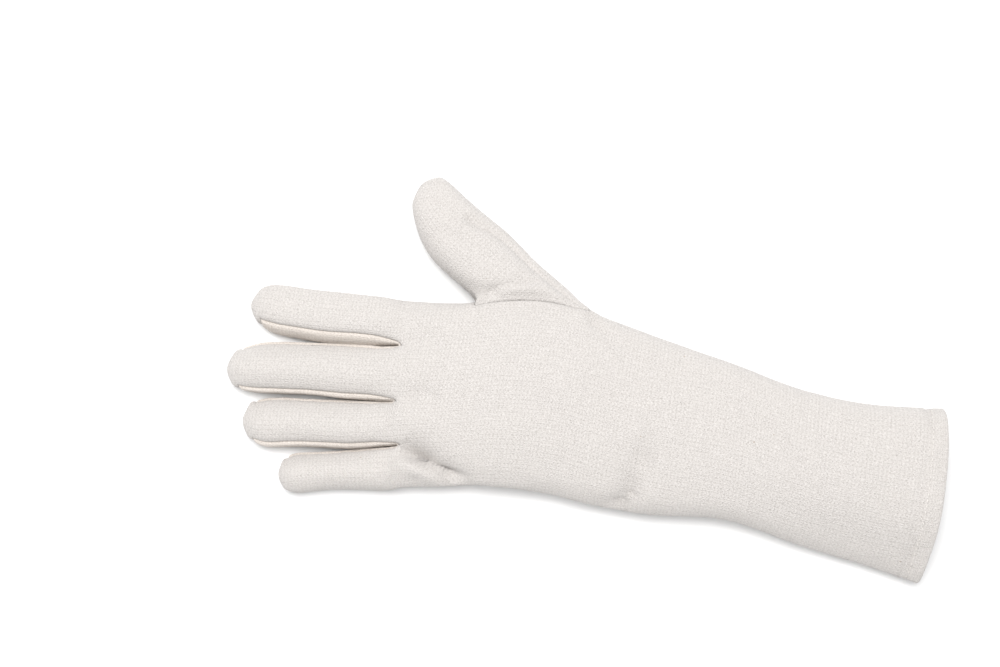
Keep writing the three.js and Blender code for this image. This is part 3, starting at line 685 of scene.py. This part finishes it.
# The upper cloth is pinched together where each slit between two fingers ends at the fork: PINCH is
# the share of the way to the slit's middle line, ALONG and ACROSS are its reach round a point that is
# CENTRE into the slit, and it sets in over RISE above FLOOR
PINCH = 0.75
PINCH_CENTRE = 2.0
PINCH_ALONG = 9.0
PINCH_ACROSS = 4.0
PINCH_FLOOR = 7.0
PINCH_RISE = 6.0

for line in FINGER_LINES[1:-1]:
    towards_tips = finger_direction(line["lean"])
    sideways = np.array([-towards_tips[1], towards_tips[0]])
    off = surface[:, :2] - np.array([line["shift"] * PALM_LENGTH, line["across"]])
    along, across = off @ towards_tips, off @ sideways
    share = PINCH * np.exp(-((along - PINCH_CENTRE) / PINCH_ALONG) ** 2 - (across / PINCH_ACROSS) ** 2)
    share *= np.clip((surface[:, 2] - PINCH_FLOOR) / PINCH_RISE, 0, 1)
    surface[:, :2] -= (share * across)[:, None] * sideways

normals = point_normals(surface, faces)
facing = np.clip(normals[:, 2] * FACING_UP, 0, 1)
depth = sum(fold_depth(surface, fold) for fold in FOLDS)
surface -= normals * (facing * depth)[:, None]

# Where the cuff sags towards its little-finger side, in rows like those of the folds, but with depth
# as a share of the height there
SAGS = [
    {"path": [(1.5, -0.4), (1.66, -0.44), (1.825, -0.485), (2.03, -0.52), (2.239, -0.545),
              (2.457, -0.565), (2.7, -0.58)],
     "widths": (19.0, 19.0), "depth": 0.2, "end": 40.0},
    {"path": [(1.75, -0.47), (2.03, -0.52), (2.239, -0.545), (2.457, -0.565), (2.8, -0.59)],
     "widths": (22.0, 22.0), "depth": 0.24, "end": 40.0},
]
surface[:, 2] *= 1 - sum(fold_depth(surface, sag) for sag in SAGS)

# One row per kind of unevenness of the stuffed cloth: its size and its height in millimetres
LUMPS = [
    {"size": 26.0, "height": 0.5, "seed": 3.0},
    {"size": 11.0, "height": 0.15, "seed": 17.0},
    {"size": 5.0, "height": 0.04, "seed": 31.0},
]
lift = np.zeros(len(surface))
for lump in LUMPS:
    for i, point in enumerate(surface):
        place = Vector(point / lump["size"]) + Vector((lump["seed"], 0, 0))
        lift[i] += lump["height"] * noise.noise(place)
surface += normals * lift[:, None]

# Cloth panels
# Each panel is the surface between its seams. Its edge is turned down into the seam, the cloth near
# the seam puckers a little, and it gets the thickness of jersey on its inside. A corner is kept back
# less where the pulls of its two edges nearly cancel, to below LEAST_PULL.
CLOTH = 1.3
SEAM_GAP = 0.14
SEAM_DEPTH = 0.65
SEAM_WIDTH = 1.1
STRIP_STEP = 0.3
THUMB_SEAM_SHARE = 0.3
LEAST_PULL = 0.3
PUCKER = 0.22
PUCKER_REACH = 4.5
PUCKER_END = 3 * PUCKER_REACH
PUCKER_SIZE = 4.2
PUCKER_SEED = Vector((0, 0, 5))
FIRST_STRIP = 2
STITCH_BACK = 6.6
STITCH_FURROW = 0.95
FURROW_WIDTH = 1.1

# Panels that have each point, which are more than one on a seam
panels_at = [set() for _ in surface]
for corners, panel in zip(faces, face_panels):
    for corner in corners:
        panels_at[corner].add(int(panel))
seam_points = [i for i, found in enumerate(panels_at) if len(found) > 1]
seam_tree = kdtree.KDTree(len(seam_points))
for i, point in enumerate(seam_points):
    seam_tree.insert(surface[point], i)
seam_tree.balance()

normals = point_normals(surface, faces)
sink = np.zeros(len(surface))
for i, point in enumerate(surface):
    _, found, distance = seam_tree.find(point)
    if distance > PUCKER_END:
        continue
    wave = noise.noise(Vector(point / PUCKER_SIZE) + PUCKER_SEED)
    share = THUMB_SEAM_SHARE if PANELS.index("thumb") in panels_at[seam_points[found]] else 1.0
    sink[i] = SEAM_DEPTH * share * math.exp(-(distance / SEAM_WIDTH) ** 2)
    sink[i] -= PUCKER * wave * math.exp(-(distance / PUCKER_REACH) ** 2)
behind_mouth = CUFF_END - surface[:, 0]
sink += STITCH_FURROW * np.exp(-((behind_mouth - STITCH_BACK) / FURROW_WIDTH) ** 2)


def on_floor(points):
    """The points, with those below the floor raised to it."""
    points[:, 2] = np.clip(points[:, 2], 0, None)
    return points


surface = on_floor(surface - normals * sink[:, None])
normals = point_normals(surface, faces)


def rim_edges(chosen):
    """Edges of the chosen faces that only one of them has, in their turning sense."""
    edges = {(corners[k], corners[(k + 1) % 4]) for corners in chosen.tolist() for k in range(4)}
    return [(a, b) for a, b in edges if (b, a) not in edges]


# Points of the cuff's mouth in order round it, and the way straight out from each
mouth_edges = dict(rim_edges(faces))
mouth = [next(iter(mouth_edges))]
while mouth_edges[mouth[-1]] != mouth[0]:
    mouth.append(mouth_edges[mouth[-1]])
mouth_outward = normals[mouth]
mouth_outward[:, 0] = 0
mouth_outward /= np.linalg.norm(mouth_outward, axis=1, keepdims=True)


def ring_band(rings, starts, closed):
    """Quads between rings of points that follow each other, with their places in the flat cloth."""
    count = len(rings[0])
    band = []
    places = []
    reach = 0.0
    for near in range(len(rings) if closed else len(rings) - 1):
        far = (near + 1) % len(rings)
        steps = np.linalg.norm(np.roll(rings[near], -1, axis=0) - rings[near], axis=1)
        girth = np.concatenate([[0.0], np.cumsum(steps)])
        step = float(np.linalg.norm(rings[far] - rings[near], axis=1).mean())
        for k in range(count):
            following = (k + 1) % count
            band.append((starts[near][following], starts[near][k], starts[far][k], starts[far][following]))
            places += [(girth[k + 1], reach), (girth[k], reach), (girth[k], reach + step),
                       (girth[k + 1], reach + step)]
        reach += step
    return band, places


def ring_numbers(rings, first):
    """Numbers of the rings' points in a mesh that has them one after the other."""
    size = len(rings[0])
    return [list(range(first + i * size, first + (i + 1) * size)) for i in range(len(rings))]


def cloth_mesh(name, cotton, points, corners, places):
    """A mesh in metres from points in millimetres off the fork line, smooth all over."""
    mesh = bpy.data.meshes.new(name)
    mesh.from_pydata(((np.array(points) + FORK_PLACE) * MM).tolist(), [], corners)
    mesh.uv_layers.new(name="cloth").data.foreach_set("uv", np.array(places, dtype=float).ravel())
    mesh.polygons.foreach_set("use_smooth", [True] * len(mesh.polygons))
    mesh.materials.append(cotton)
    return mesh


def panel_mesh(name, cotton, lip=()):
    """A panel as one closed piece of cloth. Its sewn edges are kept back and turned down, and lip is
    the rings of points that lead round the cuff's mouth from the cloth's outside to its inside."""
    panel = PANELS.index(name)
    chosen = faces[face_panels == panel]
    places = face_places[face_panels == panel]
    outer = surface.copy()
    under = SEAM_GAP + (STRIP_STEP if panel >= FIRST_STRIP else 0.0)
    rim = rim_edges(chosen)
    pulls = {}
    for a, b in rim:
        pull = np.cross(normals[a], surface[b] - surface[a])
        for corner in (a, b):
            pulls[corner] = pulls.get(corner, 0) + pull / np.linalg.norm(pull)
    for corner, pull in pulls.items():
        if len(panels_at[corner]) > 1:
            inward = pull / max(np.linalg.norm(pull), LEAST_PULL)
            outer[corner] += inward * SEAM_GAP / 2 - normals[corner] * under
    outer = on_floor(outer)
    inner = outer - normals * CLOTH
    used, numbered = np.unique(chosen, return_inverse=True)
    number = {int(corner): i for i, corner in enumerate(used)}
    numbered = numbered.reshape(-1, 4)
    count = len(used)
    corners = numbered.tolist() + (numbered[:, ::-1] + count).tolist()
    flat = places.reshape(-1, 2).tolist() + places[:, ::-1].reshape(-1, 2).tolist()
    at_corner = {}
    for quad, marks in zip(chosen.tolist(), places.tolist()):
        for k in range(4):
            at_corner[quad[k], quad[(k + 1) % 4]] = (marks[k], marks[(k + 1) % 4])
    at_mouth = set(mouth) if lip else set()
    for a, b in rim:
        if a in at_mouth and b in at_mouth:
            continue
        mark_a, mark_b = at_corner[a, b]
        corners.append((number[b], number[a], number[a] + count, number[b] + count))
        flat += [mark_b, mark_a, mark_a, mark_b]
    points = [outer[used], inner[used]]
    if lip:
        rings = [outer[mouth]] + lip + [inner[mouth]]
        on_edge = [number[corner] for corner in mouth]
        starts = [on_edge] + ring_numbers(lip, 2 * count) + [[corner + count for corner in on_edge]]
        band, marks = ring_band(rings, starts, False)
        points += lip
        corners += band
        flat += marks
    return cloth_mesh(name + "_cloth", cotton, np.concatenate(points), corners, flat)


# Unbleached cotton jersey
# A fine knit with a slightly uneven, warm off-white colour and a few brown flecks of seed husk. WALE
# and COURSE are its stitches' width and length in millimetres of the flat cloth, and RELIEF_DEPTH and
# the noises' scales go by metres.
YARN_LIGHT = (0.656, 0.625, 0.601, 1)
YARN_DARK = (0.442, 0.412, 0.386, 1)
HUSK = (0.30, 0.21, 0.14, 1)
WALE = 2.2
COURSE = 1.78
SWAY = 0.4
LEG_SLANT = 0.9

# How much each effect adds to the yarn's tone, from dark at 0 to light at 1
LOOP_SHARE = 0.12
RIB_SHARE = 0.05
LEG_SHARE = 0.07
FUZZ_SHARE = 1.7
MOTTLE_SHARE = 0.06
TONE_START = -0.235

RELIEF = 0.8
RELIEF_DEPTH = 0.0005
COTTON_LOOK = {"Roughness": 0.95, "Specular IOR Level": 0.2, "Sheen Weight": 0.25, "Sheen Roughness": 0.6}
NOISES = [
    {"name": "wobble", "scale": 330.0, "detail": 2.0},
    {"name": "waver", "scale": 390.0, "detail": 2.0},
    {"name": "fuzz", "scale": 2000.0, "detail": 1.0},
    {"name": "mottle", "scale": 70.0, "detail": 4.0},
]

# A fleck lies in those cells of a scatter whose random value is above FLECKS_FROM
FLECK_SCALE = 130.0
FLECKS_FROM = 0.86
FLECK = {"From Min": 0.02, "From Max": 0.07, "To Min": 0.75, "To Max": 0.0}


def join(tree, kind, inputs, **settings):
    """Adds a node, sets its properties and inputs, and gives it back."""
    node = tree.nodes.new(kind)
    for name, value in settings.items():
        setattr(node, name, value)
    for name, value in inputs.items():
        if isinstance(value, bpy.types.NodeSocket):
            tree.links.new(value, node.inputs[name])
        else:
            node.inputs[name].default_value = value
    return node


def add_sockets(tree, in_out, kinds):
    """Named inputs or outputs of a node group, each with its identifier."""
    return {name: tree.interface.new_socket(name, in_out=in_out, socket_type="NodeSocket" + kind).identifier
            for name, kind in kinds.items()}


jersey = bpy.data.node_groups.new("jersey_knit", "ShaderNodeTree")
add_sockets(jersey, "INPUT", {"Cloth place": "Vector", "Place": "Vector", "Wale": "Float",
                              "Course": "Float", "Light yarn": "Color", "Dark yarn": "Color",
                              "Husk": "Color"})
add_sockets(jersey, "OUTPUT", {"Colour": "Color", "Height": "Float"})
given = jersey.nodes.new("NodeGroupInput").outputs


def in_knit(operation, first, second=0.0):
    return join(jersey, "ShaderNodeMath", {0: first, 1: second}, operation=operation).outputs[0]


def ripple(place, turns):
    """A cosine with so many turns for each whole step of its place."""
    return in_knit("COSINE", in_knit("MULTIPLY", place, turns * 2 * math.pi))


noisy = {}
for row in NOISES:
    values = {"Vector": given["Place"], "Scale": row["scale"], "Detail": row["detail"]}
    noisy[row["name"]] = join(jersey, "ShaderNodeTexNoise", values).outputs["Fac"]
cloth = join(jersey, "ShaderNodeSeparateXYZ", {"Vector": given["Cloth place"]})
sway = in_knit("MULTIPLY", noisy["wobble"], SWAY)
slip = in_knit("MULTIPLY", noisy["waver"], SWAY)
column = in_knit("ADD", in_knit("DIVIDE", cloth.outputs["X"], given["Wale"]), sway)
row_at = in_knit("ADD", in_knit("DIVIDE", cloth.outputs["Y"], given["Course"]), slip)
off_middle = in_knit("ABSOLUTE", in_knit("SUBTRACT", in_knit("FRACT", column), 0.5))
slant = in_knit("ADD", row_at, in_knit("MULTIPLY", off_middle, LEG_SLANT))
knit = in_knit("MULTIPLY", ripple(slant, 1), LOOP_SHARE)
knit = in_knit("SUBTRACT", knit, in_knit("MULTIPLY", ripple(column, 1), RIB_SHARE))
knit = in_knit("SUBTRACT", knit, in_knit("MULTIPLY", ripple(column, 2), LEG_SHARE))
rough_knit = in_knit("ADD", knit, in_knit("MULTIPLY", noisy["fuzz"], FUZZ_SHARE))
tone = in_knit("ADD", in_knit("MULTIPLY", noisy["mottle"], MOTTLE_SHARE), TONE_START)
tone = in_knit("ADD", tone, rough_knit)
yarn = join(jersey, "ShaderNodeMix", {0: tone, 6: given["Dark yarn"], 7: given["Light yarn"]},
            data_type="RGBA", clamp_factor=True)
flecks = join(jersey, "ShaderNodeTexVoronoi", {"Vector": given["Place"], "Scale": FLECK_SCALE})
chance = join(jersey, "ShaderNodeSeparateColor", {"Color": flecks.outputs["Color"]})
rare = in_knit("GREATER_THAN", chance.outputs[0], FLECKS_FROM)
speck = join(jersey, "ShaderNodeMapRange", {"Value": flecks.outputs["Distance"], **FLECK})
on_fleck = in_knit("MULTIPLY", rare, speck.outputs[0])
husk = join(jersey, "ShaderNodeMix", {0: on_fleck, 6: yarn.outputs[2], 7: given["Husk"]},
            data_type="RGBA")
join(jersey, "NodeGroupOutput", {"Colour": husk.outputs[2], "Height": rough_knit})


def set_values(node, values):
    for socket, value in values.items():
        node.inputs[socket].default_value = value


def new_material(name, look):
    """A material whose shader has the constants of the look."""
    material = bpy.data.materials.new(name)
    material.use_nodes = True
    set_values(material.node_tree.nodes["Principled BSDF"], look)
    return material


def jersey_material(name, light, dark):
    """Jersey in its own two tones of yarn."""
    material = new_material(name, COTTON_LOOK)
    tree = material.node_tree
    shader = tree.nodes["Principled BSDF"]
    flat = join(tree, "ShaderNodeUVMap", {}, uv_map="cloth")
    solid = tree.nodes.new("ShaderNodeTexCoord")
    cotton = join(tree, "ShaderNodeGroup",
                  {"Cloth place": flat.outputs["UV"], "Place": solid.outputs["Object"], "Wale": WALE,
                   "Course": COURSE, "Light yarn": light, "Dark yarn": dark, "Husk": HUSK},
                  node_tree=jersey)
    relief = join(tree, "ShaderNodeBump", {"Strength": RELIEF, "Distance": RELIEF_DEPTH,
                                           "Height": cotton.outputs["Height"]})
    tree.links.new(cotton.outputs["Colour"], shader.inputs["Base Color"])
    tree.links.new(relief.outputs["Normal"], shader.inputs["Normal"])
    return material


# Trank
# One piece of jersey makes the back and the palm of the hand, the fingers' backs and fronts and the
# whole cuff. At the mouth it turns round a soft fold into the hem.
FOLD_TURN = [(0.55, 0.12), (1.0, 0.55), (1.2, 1.2), (1.0, 1.95), (0.5, 2.45), (-0.2, 2.7)]


def mouth_offset(ahead, under):
    """The mouth's ring moved ahead of the edge and under the cloth's outside."""
    return on_floor(surface[mouth] + np.array([ahead, 0, 0]) - mouth_outward * under)


lip = [mouth_offset(ahead, under) for ahead, under in FOLD_TURN]
body_cotton = jersey_material("cotton_jersey_body", YARN_LIGHT, YARN_DARK)
trank = add_object(panel_mesh("trank", body_cotton, lip))
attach(trank, "root")
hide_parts("trank", "cuff")

# Thumb cloth
# The thumb's own tube of jersey, sewn into the hole in the side of the hand.
thumb_cotton = jersey_material("cotton_jersey_thumb", YARN_LIGHT, YARN_DARK)
thumb = add_object(panel_mesh("thumb", thumb_cotton))
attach(thumb, "root")
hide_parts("thumb")

# Fourchettes
# Three strips of jersey between the fingers, each down one finger's side, through the fork and up the
# next finger's. Their yarn is warmer in tone than the body's and also lighter: the extra lightness is
# painted light that stands in for the light their shaded sides don't get.
STRIP_LIGHT_PAINTED_FILL = (0.76, 0.7, 0.645, 1)
STRIP_DARK_PAINTED_FILL = (0.56, 0.5, 0.445, 1)

# Strip yarn, lightened past its own tone as painted fill light on the strips' shaded sides
strip_cotton_painted_fill = jersey_material("cotton_jersey_strips", STRIP_LIGHT_PAINTED_FILL, STRIP_DARK_PAINTED_FILL)
for panel in PANELS[FIRST_STRIP:]:
    strip = add_object(panel_mesh(panel, strip_cotton_painted_fill))
    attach(strip, "root")
    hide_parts(panel)

# Hem
# The trank's edge, turned in at the cuff's mouth as a band of its own that lines the last few
# millimetres of the cuff.
HEM_UNDER = 1.6
HEM_CLOTH = 1.2
HEM_ROWS = 8

hem_steps = [step / HEM_ROWS for step in range(HEM_ROWS + 1)]
hem_rings = [mouth_offset((step - 1) * HEM_DEPTH, HEM_UNDER) for step in hem_steps]
hem_rings += [mouth_offset(-step * HEM_DEPTH, HEM_UNDER + HEM_CLOTH) for step in hem_steps]
hem_band, hem_places = ring_band(hem_rings, ring_numbers(hem_rings, 0), True)
hem_cotton = jersey_material("cotton_jersey_hem", YARN_LIGHT, YARN_DARK)
hem_points = np.concatenate(hem_rings)
hem = add_object(cloth_mesh("cuff_hem_cloth", hem_cotton, hem_points, hem_band, hem_places))
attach(hem, "root")
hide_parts("cuff_hem")

# Hem stitches
# One row of short stitches all round the cuff, sunk in the furrow that they pull in the cloth. The
# row is set out along a curve on the outside by Geometry Nodes and then made a plain mesh.
STITCH_LENGTH = 1.7
STITCH_SPACING = 2.8
STITCH_THICKNESS = 0.5
STITCH_LIFT = 0.32
STITCH_TURN = 0.12
STITCH_SEED = 4
STITCH_BEAD = {"Segments": 8, "Rings": 6, "Radius": 0.5}
THREAD_LOOK = {"Base Color": (0.69, 0.66, 0.63, 1), "Roughness": 0.85, "Specular IOR Level": 0.25}

outside = BVHTree.FromPolygons(surface.tolist(), faces.tolist())
stitch_path = []
for point in surface[mouth]:
    place, normal, _, _ = outside.find_nearest(Vector(point - np.array([STITCH_BACK, 0, 0])))
    place = np.array(place) + STITCH_LIFT * np.array(normal) + FORK_PLACE
    place[2] = max(place[2], STITCH_THICKNESS)
    stitch_path.append(place * MM)
path_mesh = bpy.data.meshes.new("hem_stitches")
steps = [(k, (k + 1) % len(stitch_path)) for k in range(len(stitch_path))]
path_mesh.from_pydata([point.tolist() for point in stitch_path], steps, [])
stitches = add_object(path_mesh)

thread = new_material("cotton_thread", THREAD_LOOK)
stitching = bpy.data.node_groups.new("stitch_row", "GeometryNodeTree")
stitch_values = {"Spacing": STITCH_SPACING * MM, "Length": STITCH_LENGTH * MM,
                 "Thickness": STITCH_THICKNESS * MM, "Turn": STITCH_TURN}
sockets = add_sockets(stitching, "INPUT", {"Path": "Geometry", **dict.fromkeys(stitch_values, "Float"),
                                           "Seed": "Int", "Thread": "Material"})
add_sockets(stitching, "OUTPUT", {"Stitches": "Geometry"})
row_in = stitching.nodes.new("NodeGroupInput").outputs
row = join(stitching, "GeometryNodeMeshToCurve", {"Mesh": row_in["Path"]})
set_out = join(stitching, "GeometryNodeResampleCurve",
               {"Curve": row.outputs[0], "Length": row_in["Spacing"]}, mode="LENGTH")
along = stitching.nodes.new("GeometryNodeInputTangent")
lying = join(stitching, "FunctionNodeAlignRotationToVector", {"Vector": along.outputs[0]}, axis="Z")
other_way = join(stitching, "ShaderNodeMath", {0: row_in["Turn"], 1: -1.0}, operation="MULTIPLY")
jitter = join(stitching, "FunctionNodeRandomValue",
              {2: other_way.outputs[0], 3: row_in["Turn"], "Seed": row_in["Seed"]})
tilt = join(stitching, "ShaderNodeCombineXYZ", {"X": jitter.outputs[1], "Y": jitter.outputs[1]})
turn_by = join(stitching, "FunctionNodeEulerToRotation", {"Euler": tilt.outputs[0]})
turned = join(stitching, "FunctionNodeRotateRotation",
              {"Rotation": lying.outputs[0], "Rotate By": turn_by.outputs[0]}, rotation_space="LOCAL")
bead = join(stitching, "GeometryNodeMeshUVSphere", STITCH_BEAD)
size = join(stitching, "ShaderNodeCombineXYZ",
            {"X": row_in["Thickness"], "Y": row_in["Thickness"], "Z": row_in["Length"]})
sewn = join(stitching, "GeometryNodeInstanceOnPoints",
            {"Points": set_out.outputs[0], "Instance": bead.outputs[0], "Rotation": turned.outputs[0],
             "Scale": size.outputs[0]})
real = join(stitching, "GeometryNodeRealizeInstances", {"Geometry": sewn.outputs[0]})
soft = join(stitching, "GeometryNodeSetShadeSmooth", {"Geometry": real.outputs[0]})
coloured = join(stitching, "GeometryNodeSetMaterial",
                {"Geometry": soft.outputs[0], "Material": row_in["Thread"]})
join(stitching, "NodeGroupOutput", {"Stitches": coloured.outputs[0]})

sewing = stitches.modifiers.new("stitching", "NODES")
sewing.node_group = stitching
for name, value in {**stitch_values, "Seed": STITCH_SEED, "Thread": thread}.items():
    sewing[sockets[name]] = value
sewn_mesh = baked_mesh(stitches)
stitches.modifiers.clear()
stitches.data = sewn_mesh
bpy.data.meshes.remove(path_mesh)
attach(stitches, "root")

# Floor, light and camera
# A plain white floor under even light and a soft lamp from the thumb side, seen from the photograph's
# angle.
FLOOR_LOOK = {"Base Color": (0.9, 0.9, 0.9, 1), "Roughness": 0.9}
FLOOR_SIZE = 6.0
ROOM_LIGHT = {"Color": (1, 1, 1, 1), "Strength": 0.66}
LAMP_PLACE = Vector((-0.18, 0.22, 1.4))
LAMP_SIZE = 0.9
LAMP_POWER = 22.5
LENS = 61.2
SENSOR = 36.0
EYE = (-0.0203, -0.1329, 0.8302)
SIGHT_RIGHT = (0.98629, 0.16505, 0.0)
SIGHT_UP = (-0.16254, 0.97130, 0.17365)
SIGHT_BACK = (0.02866, -0.17127, 0.98481)

floor_mesh = bpy.data.meshes.new("floor")
half = FLOOR_SIZE / 2
floor_corners = [(-half, -half, 0), (half, -half, 0), (half, half, 0), (-half, half, 0)]
floor_mesh.from_pydata(floor_corners, [], [(0, 1, 2, 3)])
floor = add_object(floor_mesh)
floor_paint = new_material("pale_floor", FLOOR_LOOK)
floor_mesh.materials.append(floor_paint)

world = bpy.data.worlds.new("soft_room")
world.use_nodes = True
set_values(world.node_tree.nodes["Background"], ROOM_LIGHT)
bpy.context.scene.world = world

lamp = bpy.data.lights.new("key_light", "AREA")
lamp.shape = "SQUARE"
lamp.size = LAMP_SIZE
lamp.energy = LAMP_POWER
lamp_holder = add_object(lamp)
lamp_holder.location = LAMP_PLACE
lamp_holder.rotation_euler = (-LAMP_PLACE).to_track_quat("-Z", "Y").to_euler()

camera_data = bpy.data.cameras.new("camera")
camera_data.lens = LENS
camera_data.sensor_width = SENSOR
camera_data.sensor_fit = "HORIZONTAL"
camera = add_object(camera_data)
columns = Matrix((SIGHT_RIGHT, SIGHT_UP, SIGHT_BACK)).transposed().to_4x4()
camera.matrix_world = Matrix.Translation(EYE) @ columns
bpy.context.scene.camera = camera
bpy.context.scene.view_settings.view_transform = "Standard"
